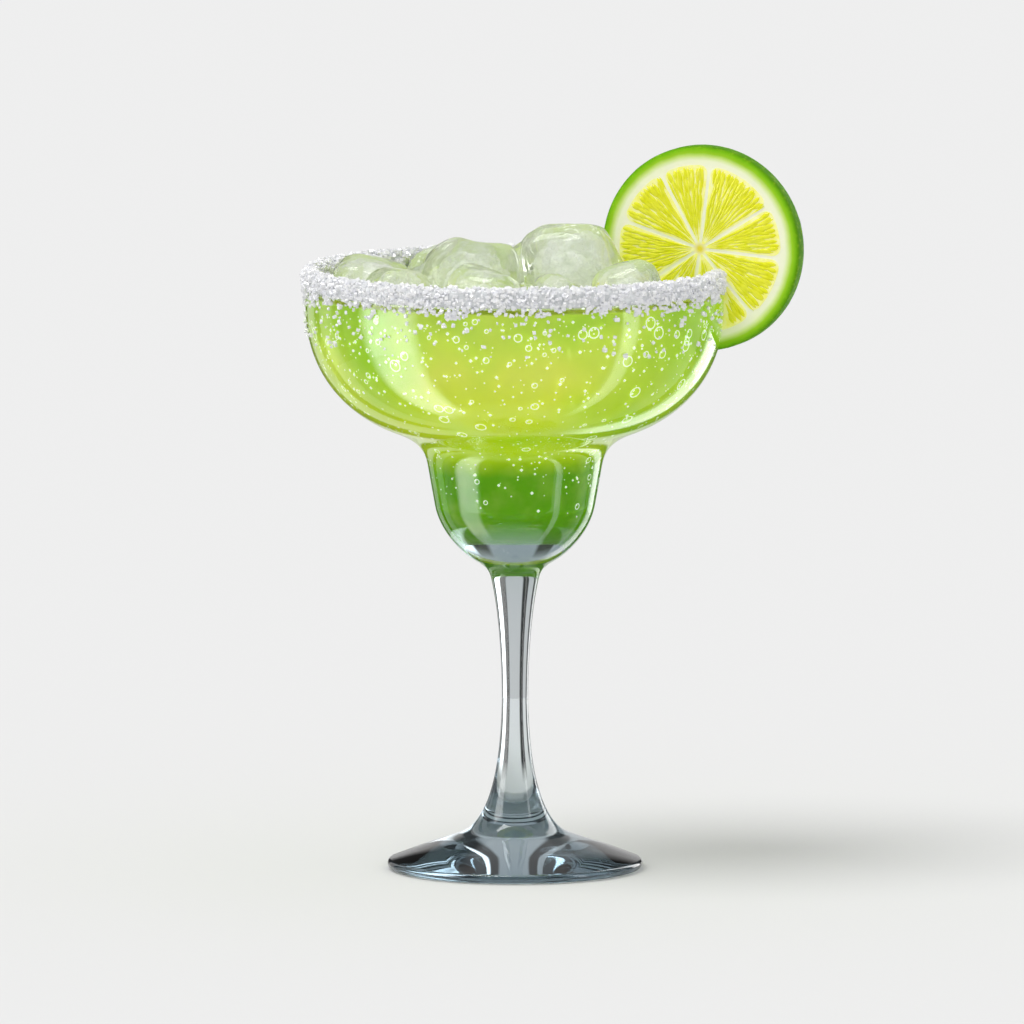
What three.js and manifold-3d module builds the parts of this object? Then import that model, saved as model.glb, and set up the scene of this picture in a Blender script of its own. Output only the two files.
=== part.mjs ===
// A margarita in its stemmed glass, with a salted rim, heaped ice and a wheel of lime slotted on the rim.
// Millimetres, +Z up. The origin is the middle of the foot's underside, and the lime stands on the +X side.
import * as THREE from "three";
import { mergeVertices } from "three/addons/utils/BufferGeometryUtils.js";
import Module from "manifold-3d";

const wasm = await Module();
wasm.setup();

// Driving sizes of the glass: radii and heights of its outside, from the foot up to the rim
const GLASS_HEIGHT = 161;
const RIM_RADIUS = 56;
const WALL = 2.1;
const FOOT_RADIUS = 34.2;
const FOOT_EDGE = 2.6;
const FOOT_SLOPE_END = { r: 15, z: 9.1 };
const STEM_WAIST = { r: 3.5, z: 45 };
const STEM_TOP = { r: 6.4, z: 78.2 };
const CUP_UNDERSIDE = { r: 11, z: 83.2 };
const CUP_WALL_LOW = { r: 21.4, z: 97.6 };
const CUP_WALL_HIGH = { r: 23.4, z: 108.8 };
const SHOULDER = { r: 33, z: 118 };
const BOWL_WALL_Z = 150;
const CUP_FLOOR_Z = 93;
const CUP_FLOOR_RISE = 2.8;
const CUP_FLOOR_FLAT = 0.58;
const CUP_FLOOR_CORNER = 0.95;

// How each curve of the outside leaves its lower end and comes to its upper end, as steps from those ends
const FOOT_BEND = { leave: { r: -6.8, z: 2.6 }, arrive: { r: 0.5, z: -22.5 } };
const STEM_BEND = { leave: { r: 0, z: 11 }, arrive: { r: -2.1, z: -9.2 } };
const CUP_START_BEND = { leave: { r: 0.6, z: 2.6 }, arrive: { r: -2.4, z: -1.4 } };
const CUP_BEND = { leave: { r: 4.5, z: 2.8 }, arrive: { r: -1.2, z: -6.1 } };
const NECK_BEND = { leave: { r: 0.8, z: 4.4 }, arrive: { r: -6.5, z: -2.4 } };
const BOWL_BEND = { leave: { r: 12.5, z: 4.6 }, arrive: { r: -0.5, z: -16.5 } };

// Fineness of the turned pieces
const GLASS_SIDES = 36;
const STEM_CURVE_STEPS = 4;
const BOWL_CURVE_STEPS = 5;
const LIP_STEPS = 3;

// Free space between neighbours that touch in the real drink
const GAP = 0.35;

// The drink stands a little under the rim
const DRINK_LEVEL = 155;

// Crust of coarse salt, draped over the lip
const SALT_DEPTH_OUTSIDE = 7.2;
const SALT_DEPTH_INSIDE = 3.6;
const SALT_THICKNESS = 1.15;
const SALT_GRAIN = 0.75;
const SALT_RAGGED_EDGE = 1.1;
const SALT_EDGE_THINNING = 0.6;
const SALT_EDGE_HEIGHT = 1.8;
const SALT_UNDER_LIP = 2;
const SALT_STEPS = 92;
const SALT_SEED = 20261;

// Wheel of lime: its middle from the glass's axis, turned a little from the radial plane
const LIME_RADIUS = 27.5;
const LIME_THICKNESS = 6;
const LIME_PEEL_ROUND = 1.2;
const LIME_FLESH_RADIUS = 22.5;
const LIME_CORE = 1.6;
const LIME_MEMBRANE = 0.9;
const LIME_SEGMENT_CORNER = 2.2;
const LIME_RELIEF = 0.3;
const LIME_MIDDLE = { x: 50.3, z: GLASS_HEIGHT + 6 };
const LIME_TURN_DEG = 18;
const LIME_FIRST_MEMBRANE_DEG = 83;
const LIME_SEGMENT_SPANS_DEG = [36, 43, 51, 49, 48, 45, 37, 51];
const LIME_SALT_CLEARANCE = 1.3;
const LIME_PEEL_STEPS = 24;
const LIME_SEGMENT_STEPS = 5;
const LIME_ROOM_SIDES = 48;

// Lumps of ice: middle (x, y), height of the top over the rim, full sizes,
// and lean about X, Y and Z in degrees
const ICE = [
  { name: "ice_right_tall", x: 15.5, y: -7.5, over: 15.2, size: [26.5, 22, 29], lean: [10, -16, -8] },
  { name: "ice_centre_tall", x: -11.8, y: 5, over: 8.8, size: [28, 24, 25], lean: [-10, 9, 12] },
  { name: "ice_left", x: -37.6, y: 6, over: 3.2, size: [22, 25, 20], lean: [8, 8, -6] },
  { name: "ice_left_front", x: -31.5, y: -20, over: 2.6, size: [19, 17.5, 17], lean: [-12, 8, 16] },
  { name: "ice_front", x: -8.8, y: -26, over: 4, size: [23, 18.5, 20], lean: [10, 10, -9] },
  { name: "ice_front_point", x: 11.2, y: -29.5, over: 3, size: [13, 13, 16], lean: [14, 14, 38] },
  { name: "ice_right_front", x: 30, y: -27, over: 5, size: [19, 16, 18], lean: [-8, -12, 16] },
  { name: "ice_back", x: 9, y: 30, over: 6, size: [26, 22, 23], lean: [10, -8, 7] },
  { name: "ice_back_left", x: -19, y: 32, over: 4, size: [22, 20, 21], lean: [-8, 10, -12] },
];
const ICE_SQUARENESS = 3.6;
const ICE_DENTS = 5;
const ICE_DENT_DEPTH = 0.18;
const ICE_DENT_WIDTH = 0.55;
const ICE_FACES = 4;
const ICE_SEED = 7919;

const degrees = THREE.MathUtils.degToRad;

// Seeded random numbers from 0 to 1, so that every build is the same
function randomFrom(seed) {
  let state = seed;
  return () => {
    state = (state * 1664525 + 1013904223) % 4294967296;
    return state / 4294967296;
  };
}

// A closed geometry as a solid: only positions are kept, shared corners merged and empty triangles dropped
function solidOf(geometry) {
  const bare = geometry.clone();
  bare.deleteAttribute("normal");
  bare.deleteAttribute("uv");
  const merged = mergeVertices(bare, 1e-4);
  const corners = merged.index.array;
  const triVerts = [];
  for (let i = 0; i < corners.length; i += 3) {
    const [a, b, c] = corners.slice(i, i + 3);
    if (a !== b && b !== c && c !== a) triVerts.push(a, b, c);
  }
  const vertProperties = merged.getAttribute("position").array;
  return new wasm.Manifold(
    new wasm.Mesh({ numProp: 3, vertProperties, triVerts: new Uint32Array(triVerts) }),
  );
}

function geometryOf(solid) {
  const { vertProperties, triVerts } = solid.getMesh();
  const geometry = new THREE.BufferGeometry();
  geometry.setAttribute("position", new THREE.BufferAttribute(vertProperties, 3));
  geometry.setIndex(new THREE.BufferAttribute(triVerts, 1));
  geometry.computeVertexNormals();
  return geometry;
}

function largestBody(solid) {
  return solid.decompose().reduce((a, b) => (a.volume() > b.volume() ? a : b));
}

function namedMesh(name, solid, material) {
  const mesh = new THREE.Mesh(geometryOf(solid), material);
  mesh.name = name;
  return mesh;
}

// A profile of (radius, height) points turned about the Z axis
function turned(profile, sides = GLASS_SIDES) {
  return new THREE.LatheGeometry(profile, sides).rotateX(Math.PI / 2);
}

// Points moved square to their own line, to its left: inwards on a profile that climbs the outside
function inset(points, distance) {
  return points.map((point, i) => {
    const before = points[Math.max(i - 1, 0)];
    const after = points[Math.min(i + 1, points.length - 1)];
    const along = after.clone().sub(before).normalize();
    return new THREE.Vector2(point.x - along.y * distance, point.y + along.x * distance);
  });
}

// A curve on a path, from one named point to the next
function bendTo(path, from, bend, to) {
  path.bezierCurveTo(
    from.r + bend.leave.r, from.z + bend.leave.z,
    to.r + bend.arrive.r, to.z + bend.arrive.z,
    to.r, to.z,
  );
}

// Foot, stem and the underside of the cup, from the axis outwards and up
function footAndStem() {
  const edge = FOOT_EDGE / 2;
  const slope = Math.atan2(FOOT_SLOPE_END.z - FOOT_EDGE, FOOT_RADIUS - FOOT_SLOPE_END.r);
  const path = new THREE.Path();
  path.moveTo(0, 0);
  path.lineTo(FOOT_RADIUS - edge, 0);
  path.absarc(FOOT_RADIUS - edge, edge, edge, -Math.PI / 2, Math.PI / 2 - slope);
  path.lineTo(FOOT_SLOPE_END.r, FOOT_SLOPE_END.z);
  bendTo(path, FOOT_SLOPE_END, FOOT_BEND, STEM_WAIST);
  bendTo(path, STEM_WAIST, STEM_BEND, STEM_TOP);
  bendTo(path, STEM_TOP, CUP_START_BEND, CUP_UNDERSIDE);
  bendTo(path, CUP_UNDERSIDE, CUP_BEND, CUP_WALL_LOW);
  return path.getPoints(STEM_CURVE_STEPS);
}

// The outside of the small lower cup and the wide bowl above it, up to just under the lip
function bowlOutside() {
  const path = new THREE.Path();
  path.moveTo(CUP_WALL_LOW.r, CUP_WALL_LOW.z);
  path.lineTo(CUP_WALL_HIGH.r, CUP_WALL_HIGH.z);
  bendTo(path, CUP_WALL_HIGH, NECK_BEND, SHOULDER);
  bendTo(path, SHOULDER, BOWL_BEND, { r: RIM_RADIUS, z: BOWL_WALL_Z });
  path.lineTo(RIM_RADIUS, GLASS_HEIGHT - WALL / 2);
  return path.getPoints(BOWL_CURVE_STEPS);
}

// The inside of the bowl at a distance from its outside, from the middle of the cup's floor upwards
function bowlInside(distance, floor) {
  const wall = inset(bowlOutside(), distance);
  const low = wall[0];
  const path = new THREE.Path();
  path.moveTo(0, floor);
  path.bezierCurveTo(
    low.x * CUP_FLOOR_FLAT, floor,
    low.x * CUP_FLOOR_CORNER, floor + CUP_FLOOR_RISE,
    low.x, low.y,
  );
  return [...path.getPoints(BOWL_CURVE_STEPS), ...wall.slice(1)];
}

// A half-round lip between the outer and the inner wall, grown on all sides by a clearance
function lip(clearance) {
  const round = WALL / 2 + clearance;
  const arc = new THREE.Path();
  arc.absarc(RIM_RADIUS - WALL / 2, GLASS_HEIGHT - WALL / 2, round, 0, Math.PI);
  return arc.getPoints(LIP_STEPS);
}

function glassSolid() {
  const inside = bowlInside(WALL, CUP_FLOOR_Z).reverse();
  const profile = [...footAndStem(), ...bowlOutside().slice(1, -1), ...lip(0), ...inside.slice(1)];
  return solidOf(turned(profile));
}

// The wall of the bowl above its shoulder, grown by a clearance: what the lime's slot is cut with
function rimWallSolid(clearance) {
  const shoulder = 1 + BOWL_CURVE_STEPS;
  const outside = inset(bowlOutside(), -clearance).slice(shoulder, -1);
  const inside = inset(bowlOutside(), WALL + clearance).slice(shoulder, -1).reverse();
  const profile = [...outside, ...lip(clearance), ...inside, outside[0]];
  return solidOf(turned(profile));
}

// A rounded box with melted dents, each lump with a seed of its own
function iceGeometry(lump, grow) {
  const random = randomFrom(lump.name.length * ICE_SEED + Math.round(lump.over * 100));
  const dents = Array.from({ length: ICE_DENTS }, () =>
    new THREE.Vector3(random() - 0.5, random() - 0.5, random() - 0.5).normalize(),
  );
  const geometry = new THREE.BoxGeometry(2, 2, 2, ICE_FACES, ICE_FACES, ICE_FACES);
  const points = geometry.getAttribute("position");
  const point = new THREE.Vector3();
  for (let i = 0; i < points.count; i++) {
    point.fromBufferAttribute(points, i);
    const powers = point.toArray().map((v) => Math.abs(v) ** ICE_SQUARENESS);
    point.multiplyScalar((powers[0] + powers[1] + powers[2]) ** (-1 / ICE_SQUARENESS));
    const away = point.clone().normalize();
    for (const dent of dents) {
      const angle = away.angleTo(dent) / ICE_DENT_WIDTH;
      point.multiplyScalar(1 - ICE_DENT_DEPTH * Math.exp(-angle * angle));
    }
    point.multiply(new THREE.Vector3(...lump.size.map((s) => s / 2 + grow)));
    points.setXYZ(i, ...point);
  }
  return geometry;
}

function placeIce(lump) {
  const place = new THREE.Object3D();
  place.position.set(lump.x, lump.y, GLASS_HEIGHT + lump.over - lump.size[2] / 2);
  place.rotation.set(...lump.lean.map(degrees));
  place.updateMatrix();
  return place;
}

// One segment of flesh: a wedge with round corners, between two membranes
function segmentShape(from, to) {
  const half = (to - from) / 2;
  const middle = from + half;
  const inner = LIME_CORE + LIME_MEMBRANE / Math.sin(half);
  const point = new THREE.Vector2(inner * Math.cos(middle), inner * Math.sin(middle));
  const turn = Math.asin(LIME_MEMBRANE / LIME_FLESH_RADIUS);
  const corner = LIME_SEGMENT_CORNER / LIME_FLESH_RADIUS;
  const straight = LIME_FLESH_RADIUS - LIME_SEGMENT_CORNER;
  const at = (radius, angle) => [radius * Math.cos(angle), radius * Math.sin(angle)];
  const shape = new THREE.Shape();
  shape.moveTo(point.x, point.y);
  shape.lineTo(...at(straight, from + turn));
  shape.quadraticCurveTo(
    ...at(LIME_FLESH_RADIUS, from + turn),
    ...at(LIME_FLESH_RADIUS, from + turn + corner),
  );
  shape.absarc(0, 0, LIME_FLESH_RADIUS, from + turn + corner, to - turn - corner);
  shape.quadraticCurveTo(
    ...at(LIME_FLESH_RADIUS, to - turn),
    ...at(straight, to - turn),
  );
  shape.closePath();
  return shape;
}

// The wheel lies in its own XY plane, with a rounded peel and segments that stand proud on both faces
function limeBlank() {
  const disc = new THREE.Shape();
  disc.absarc(0, 0, LIME_RADIUS - LIME_PEEL_ROUND, 0, 2 * Math.PI);
  const body = new THREE.ExtrudeGeometry(disc, {
    depth: LIME_THICKNESS - 2 * LIME_PEEL_ROUND,
    curveSegments: LIME_PEEL_STEPS,
    bevelSize: LIME_PEEL_ROUND,
    bevelThickness: LIME_PEEL_ROUND,
    bevelSegments: 2,
  });
  body.translate(0, 0, LIME_PEEL_ROUND - LIME_THICKNESS / 2);
  let wheel = solidOf(body);
  const depth = LIME_THICKNESS + 2 * LIME_RELIEF;
  let from = degrees(LIME_FIRST_MEMBRANE_DEG);
  for (const span of LIME_SEGMENT_SPANS_DEG) {
    const to = from + degrees(span);
    const segment = new THREE.ExtrudeGeometry(segmentShape(from, to), {
      depth,
      curveSegments: LIME_SEGMENT_STEPS,
      bevelEnabled: false,
    });
    wheel = wheel.add(solidOf(segment.translate(0, 0, -depth / 2)));
    from = to;
  }
  return wheel;
}

function placeLime() {
  const place = new THREE.Object3D();
  place.position.set(LIME_MIDDLE.x, 0, LIME_MIDDLE.z);
  place.rotation.set(Math.PI / 2, 0, degrees(-LIME_TURN_DEG), "ZXY");
  place.updateMatrix();
  return place;
}

// A plain disc round the wheel, with a clearance on all sides
function limeRoom(clearance) {
  const thickness = LIME_THICKNESS + 2 * LIME_RELIEF + 2 * clearance;
  const radius = LIME_RADIUS + clearance;
  const room = new THREE.CylinderGeometry(radius, radius, thickness, LIME_ROOM_SIDES);
  return solidOf(room.rotateX(Math.PI / 2).applyMatrix4(placeLime().matrix));
}

function limeSolid() {
  const toWheel = placeLime().matrix.clone().invert();
  const slot = geometryOf(rimWallSolid(GAP)).applyMatrix4(toWheel);
  return largestBody(limeBlank().subtract(solidOf(slot)));
}

// The crust's section: up the outside, over the lip and down the inside along the salt's own face,
// then back along the glass
function saltSection() {
  const top = GLASS_HEIGHT - WALL / 2;
  const lowOutside = GLASS_HEIGHT - SALT_DEPTH_OUTSIDE;
  const lowInside = GLASS_HEIGHT - SALT_DEPTH_INSIDE;
  const outside = RIM_RADIUS + GAP;
  const inside = RIM_RADIUS - WALL - 2 * GAP;
  const middle = (outside + inside) / 2;
  const overLip = [0, 45, 90, 135, 180].map((turn) => {
    const out = [Math.cos(degrees(turn)), Math.sin(degrees(turn))];
    const round = (outside - inside) / 2;
    return { r: middle + round * out[0], z: top + round * out[1], out, ragged: 0 };
  });
  const face = [
    { r: outside, z: lowOutside, out: [SALT_EDGE_THINNING, 0], ragged: 1 },
    { r: outside, z: lowOutside + SALT_EDGE_HEIGHT, out: [1, 0], ragged: 0.5 },
    { r: outside, z: top - SALT_UNDER_LIP, out: [1, 0], ragged: 0 },
    ...overLip,
    { r: inside, z: lowInside, out: [-SALT_EDGE_THINNING, 0], ragged: 1 },
  ];
  const back = [face.at(-1), ...overLip.toReversed(), face[0]];
  return [...face, ...back.map((p) => ({ ...p, out: [0, 0] }))];
}

// Grains show as bumps on the crust's face, and its lower edges wander
function saltSolid() {
  const section = saltSection();
  const closed = [...section, section[0]];
  const profile = closed.map((p) => new THREE.Vector2(p.r, p.z));
  const geometry = new THREE.LatheGeometry(profile, SALT_STEPS);
  const points = geometry.getAttribute("position");
  const random = randomFrom(SALT_SEED);
  const bumps = Array.from({ length: SALT_STEPS * section.length }, random);
  const edges = Array.from({ length: SALT_STEPS }, random);
  for (let step = 0; step <= SALT_STEPS; step++) {
    const around = (step % SALT_STEPS) * ((2 * Math.PI) / SALT_STEPS);
    closed.forEach((p, j) => {
      const bump = bumps[(step % SALT_STEPS) * section.length + (j % section.length)];
      const thick = SALT_THICKNESS + SALT_GRAIN * (bump - 0.5);
      const radius = p.r + p.out[0] * thick;
      const drop = SALT_RAGGED_EDGE * (edges[step % SALT_STEPS] * 2 - 1) * p.ragged;
      const height = p.z + p.out[1] * thick - drop;
      points.setXYZ(
        step * closed.length + j,
        radius * Math.sin(around),
        height,
        radius * Math.cos(around),
      );
    });
  }
  const crust = solidOf(geometry.rotateX(Math.PI / 2));
  return largestBody(crust.subtract(limeRoom(LIME_SALT_CLEARANCE)));
}

// The drink fills the bowl to its level, cut round the ice and the lime that stand in it
function drinkSolid() {
  const inside = bowlInside(WALL + GAP, CUP_FLOOR_Z + GAP);
  const below = inside.filter((p) => p.y < DRINK_LEVEL);
  const edge = RIM_RADIUS - WALL - GAP;
  const profile = [
    ...below,
    new THREE.Vector2(edge, DRINK_LEVEL),
    new THREE.Vector2(0, DRINK_LEVEL),
  ];
  let drink = solidOf(turned(profile));
  for (const lump of ICE) {
    const room = iceGeometry(lump, GAP).applyMatrix4(placeIce(lump).matrix);
    drink = drink.subtract(solidOf(room));
  }
  return largestBody(drink.subtract(limeRoom(GAP)));
}

const glassClear = new THREE.MeshStandardMaterial({
  color: 0xdfe9ea,
  roughness: 0.03,
  metalness: 0,
  transparent: true,
  opacity: 0.35,
});
const limeJuice = new THREE.MeshStandardMaterial({ color: 0xa6d114, roughness: 0.1, metalness: 0 });
const iceClear = new THREE.MeshStandardMaterial({ color: 0xdff0cf, roughness: 0.12, metalness: 0 });
const saltWhite = new THREE.MeshStandardMaterial({ color: 0xf4f5f7, roughness: 0.45, metalness: 0 });
const limeFruit = new THREE.MeshStandardMaterial({ color: 0xd9dd2a, roughness: 0.35, metalness: 0 });

const margarita = new THREE.Group();
margarita.add(namedMesh("glass", glassSolid(), glassClear));
margarita.add(namedMesh("drink", drinkSolid(), limeJuice));
margarita.add(namedMesh("salt_rim", saltSolid(), saltWhite));

const ice = new THREE.Group();
for (const lump of ICE) {
  const place = placeIce(lump);
  const mesh = namedMesh(lump.name, solidOf(iceGeometry(lump, 0)), iceClear);
  mesh.position.copy(place.position);
  mesh.rotation.copy(place.rotation);
  ice.add(mesh);
}
margarita.add(ice);

const lime = namedMesh("lime_wheel", limeSolid(), limeFruit);
lime.position.copy(placeLime().position);
lime.rotation.copy(placeLime().rotation);
margarita.add(lime);

export default margarita;
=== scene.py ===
import random
from itertools import product
from math import asin, cos, degrees, pi, radians, sin, tau

import bpy
from mathutils import Matrix, Vector


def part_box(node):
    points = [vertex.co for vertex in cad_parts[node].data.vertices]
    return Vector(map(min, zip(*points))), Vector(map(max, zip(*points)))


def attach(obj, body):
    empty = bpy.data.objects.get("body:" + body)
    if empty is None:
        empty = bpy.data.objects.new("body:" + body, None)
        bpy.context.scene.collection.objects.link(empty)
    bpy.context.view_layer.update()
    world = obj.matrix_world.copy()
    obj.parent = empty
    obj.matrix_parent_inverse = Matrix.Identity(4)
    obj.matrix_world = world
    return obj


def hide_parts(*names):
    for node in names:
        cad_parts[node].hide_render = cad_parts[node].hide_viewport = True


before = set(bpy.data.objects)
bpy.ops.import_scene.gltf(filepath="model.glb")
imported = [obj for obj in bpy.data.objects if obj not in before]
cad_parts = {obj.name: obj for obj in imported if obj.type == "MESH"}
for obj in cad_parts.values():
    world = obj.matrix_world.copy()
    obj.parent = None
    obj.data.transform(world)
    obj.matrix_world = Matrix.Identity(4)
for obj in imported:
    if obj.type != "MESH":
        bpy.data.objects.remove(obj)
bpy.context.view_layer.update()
mm = 0.001
seam = 0.004        # in millimetres: points nearer than this are one point


# Small tools for edit mode
def leaveEdit():
    bpy.ops.object.mode_set(mode="OBJECT")


def deselectAll():
    if bpy.context.mode != "OBJECT":
        leaveEdit()
    bpy.ops.object.select_all(action="DESELECT")


def pickOnly(piece):
    deselectAll()
    piece.select_set(True)
    bpy.context.view_layer.objects.active = piece


def editAll(piece):
    pickOnly(piece)
    bpy.ops.object.mode_set(mode="EDIT")
    bpy.ops.mesh.select_all(action="SELECT")


def editFaces(piece, wanted):
    leaveEdit()
    for face in piece.data.polygons:
        face.select = wanted(face)
    bpy.ops.object.mode_set(mode="EDIT")


def closeSeams(piece, distance=seam):
    editAll(piece)
    bpy.ops.mesh.remove_doubles(threshold=distance * mm)
    bpy.ops.mesh.normals_make_consistent(inside=False)
    leaveEdit()
    room = sum(face.area * face.normal.dot(face.center) for face in piece.data.polygons)
    if room < 0:        # one sliver can turn a whole shell inside out
        piece.data.flip_normals()


def addModifier(piece, kind, **settings):
    pickOnly(piece)
    modifier = piece.modifiers.new(kind.title(), kind)
    for name, value in settings.items():
        setattr(modifier, name, value)
    bpy.ops.object.modifier_apply(modifier=modifier.name)


# Lumps and dents that a texture raises, with sizes in millimetres
def lumpTexture(name, kind, size):
    texture = bpy.data.textures.new(name, kind)
    texture.noise_scale = size * mm
    return texture


def roughen(piece, texture, depth):
    addModifier(piece, "DISPLACE", texture=texture, strength=depth * mm, mid_level=0.5,
                texture_coords="GLOBAL")


def cutAway(piece, cutter):
    addModifier(piece, "BOOLEAN", object=cutter, operation="DIFFERENCE", solver="EXACT")


# A profile of (radius, height) points in millimetres is drawn out of one vertex and spun about the stem
def spinProfile(name, profile, turns, sweep=360, begin=0, closed=False):
    deselectAll()
    bpy.ops.mesh.primitive_plane_add(size=mm)
    piece = bpy.context.object
    piece.name = name
    editAll(piece)
    bpy.ops.mesh.merge(type="CENTER")
    turn = Matrix.Rotation(radians(begin), 3, "Z")
    points = [turn @ Vector((radius, 0, height)) * mm for radius, height in profile]
    bpy.ops.transform.translate(value=points[0])
    for last, point in zip(points, points[1:]):
        bpy.ops.mesh.extrude_vertices_move(TRANSFORM_OT_translate={"value": point - last})
    bpy.ops.mesh.select_all(action="SELECT")
    if closed:
        bpy.ops.mesh.edge_face_add()
    bpy.ops.mesh.spin(steps=turns, angle=radians(sweep), center=(0, 0, 0), axis=(0, 0, 1))
    leaveEdit()
    closeSeams(piece)
    bpy.ops.object.shade_smooth()
    return piece


def addObject(name, data):
    made = bpy.data.objects.new(name, data)
    bpy.context.scene.collection.objects.link(made)
    return made


def meshFromArrays(name, points, faces):
    made = bpy.data.meshes.new(name)
    made.from_pydata(points, [], faces)
    return addObject(name, made)


def settle(piece, finish, slot, *nodes):
    pickOnly(piece)
    bpy.ops.object.transform_apply(location=True, rotation=True, scale=True)
    piece.data.materials.clear()
    piece.data.materials.append(finish)
    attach(piece, "root")
    if nodes:
        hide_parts(*nodes)
    print("made", piece.name, len(piece.data.polygons), "faces")


def between(low, high, share):
    return low + (high - low) * share


# Points after the start of a cubic curve, whose pulls are given from its own two ends
def curve(start, end, leave, arrive, steps):
    startPull = (start[0] + leave[0], start[1] + leave[1])
    endPull = (end[0] + arrive[0], end[1] + arrive[1])
    corners = (start, startPull, endPull, end)
    points = []
    for i in range(1, steps + 1):
        t = i / steps
        weights = ((1 - t) ** 3, 3 * t * (1 - t) ** 2, 3 * t * t * (1 - t), t ** 3)
        points.append(tuple(sum(w * c[k] for w, c in zip(weights, corners)) for k in (0, 1)))
    return points


def arc(middle, radius, fromDeg, toDeg, steps):
    turns = [radians(between(fromDeg, toDeg, i / steps)) for i in range(steps + 1)]
    return [(middle[0] + radius * cos(a), middle[1] + radius * sin(a)) for a in turns]


# Points moved square to their own line, to its left
def inset(points, distance):
    moved = []
    for i, (radius, height) in enumerate(points):
        before, after = points[max(i - 1, 0)], points[min(i + 1, len(points) - 1)]
        along = Vector((after[0] - before[0], after[1] - before[1])).normalized()
        moved.append((radius - along.y * distance, height + along.x * distance))
    return moved


# Shader sums: a wrapped socket takes part in Python sums, and each sum adds its Math node
class Value:
    def __init__(self, finish, socket):
        self.finish = finish
        self.socket = socket

    def maths(self, operation, *others, turned=False):
        terms = (*others, self) if turned else (self, *others)
        return self.finish.node("ShaderNodeMath", {"operation": operation}, dict(enumerate(terms)))

    def __add__(self, other):
        return self.maths("ADD", other)

    def __sub__(self, other):
        return self.maths("SUBTRACT", other)

    def __rsub__(self, other):
        return self.maths("SUBTRACT", other, turned=True)

    def __mul__(self, other):
        return self.maths("MULTIPLY", other)

    def __pow__(self, other):
        return self.maths("POWER", other)

    __radd__ = __add__


# A material and its nodes, with sizes and depths in millimetres
class Finish:
    def __init__(self, name):
        self.material = bpy.data.materials.new(name)
        self.material.use_nodes = True
        self.tree = self.material.node_tree
        self.surface = self.tree.nodes["Principled BSDF"]
        self.output = self.tree.nodes["Material Output"]

    def feed(self, socket, value):
        if isinstance(value, Value):
            self.tree.links.new(value.socket, socket)
        else:
            socket.default_value = value

    def node(self, kind, settings=None, inputs=None, output=0):
        made = self.tree.nodes.new(kind)
        for name, value in (settings or {}).items():
            if name == "stops":
                ramp = made.color_ramp.elements
                while len(ramp) < len(value):
                    ramp.new(0.5)
                for element, (place, colour) in zip(ramp, value):
                    element.position = place
                    element.color = colour
            else:
                setattr(made, name, value)
        for name, value in (inputs or {}).items():
            self.feed(made.inputs[name], value)
        return Value(self, made.outputs[output])

    def set(self, **values):
        for name, value in values.items():
            self.feed(self.surface.inputs[name.replace("_", " ")], value)

    def place(self):
        return self.node("ShaderNodeTexCoord", output="Object")

    def split(self, place):
        made = self.node("ShaderNodeSeparateXYZ", None, {0: place}).socket.node
        return [Value(self, socket) for socket in made.outputs]

    def noise(self, place, size, detail=3.0, roughness=0.5):
        return self.node("ShaderNodeTexNoise", None, {
            "Vector": place, "Scale": 1 / (size * mm), "Detail": detail, "Roughness": roughness})

    def mix(self, share, first, second):
        return self.node("ShaderNodeMix", {"data_type": "RGBA"}, {0: share, 6: first, 7: second}, 2)

    def ramp(self, value, stops):
        return self.node("ShaderNodeValToRGB", {"stops": stops}, {"Fac": value})

    def fit(self, value, low, high):
        return self.node("ShaderNodeMapRange", {"clamp": True}, {
            "Value": value, "From Min": low, "From Max": high})

    def fitMm(self, value, low, high):
        return self.fit(value, low * mm, high * mm)

    def bump(self, height, depth, strength):
        return self.node("ShaderNodeBump", None, {
            "Height": height, "Distance": depth * mm, "Strength": strength})


# A colour as a paint program shows it, turned to Blender's own
def paint(red, green, blue):
    def straight(level):
        share = level / 255
        return share / 12.92 if share <= 0.04045 else ((share + 0.055) / 1.055) ** 2.4
    return (straight(red), straight(green), straight(blue), 1)


white = paint(255, 255, 255)
black = (0, 0, 0, 1)


# Glass: foot, stem, small lower cup and wide bowl, in millimetres as (radius, height).
# A bend says how its curve leaves its start and comes to its end, and in how many steps
glass = {
    "height": 161, "rimRadius": 56, "wall": 2.1,
    "footRadius": 34.2, "footEdge": 2.6, "footEdgeTurn": 70, "footEdgeSteps": 12,
    "footSlope": (24, 5.95), "footSlopeEnd": (15, 9.1), "footBend": ((-6.8, 2.6), (0.5, -22.5), 22),
    "stemWaist": (3.5, 45), "stemBend": ((0, 11), (-2.1, -9.2), 16),
    "stemTop": (6.4, 78.2), "neckBend": ((0.6, 2.6), (-2.4, -1.4), 10),
    "cupUnderside": (11, 83.2), "cupBend": ((4.5, 2.8), (-1.2, -6.1), 14),
    "cupWallLow": (21.4, 97.6), "cupWallBend": ((0, 0), (0, 0), 4),
    "cupWallHigh": (23.4, 108.8), "shoulderBend": ((0.8, 4.4), (-6.5, -2.4), 14),
    "shoulder": (33, 118), "bowlBend": ((12.5, 4.6), (-0.5, -16.5), 26),
    "bowlWallHeight": 150, "rimWallBend": ((0, 0), (0, 0), 6), "lipSteps": 10,
    "cupFloorHeight": 93, "floorReach": 0.58, "floorTurn": 0.95, "floorRise": 2.8, "floorSteps": 14,
    "turns": 144, "clear": (0.96, 0.985, 0.985, 1), "tint": (0.58, 0.67, 0.72, 1), "tintDensity": 55.0,
}


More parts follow.
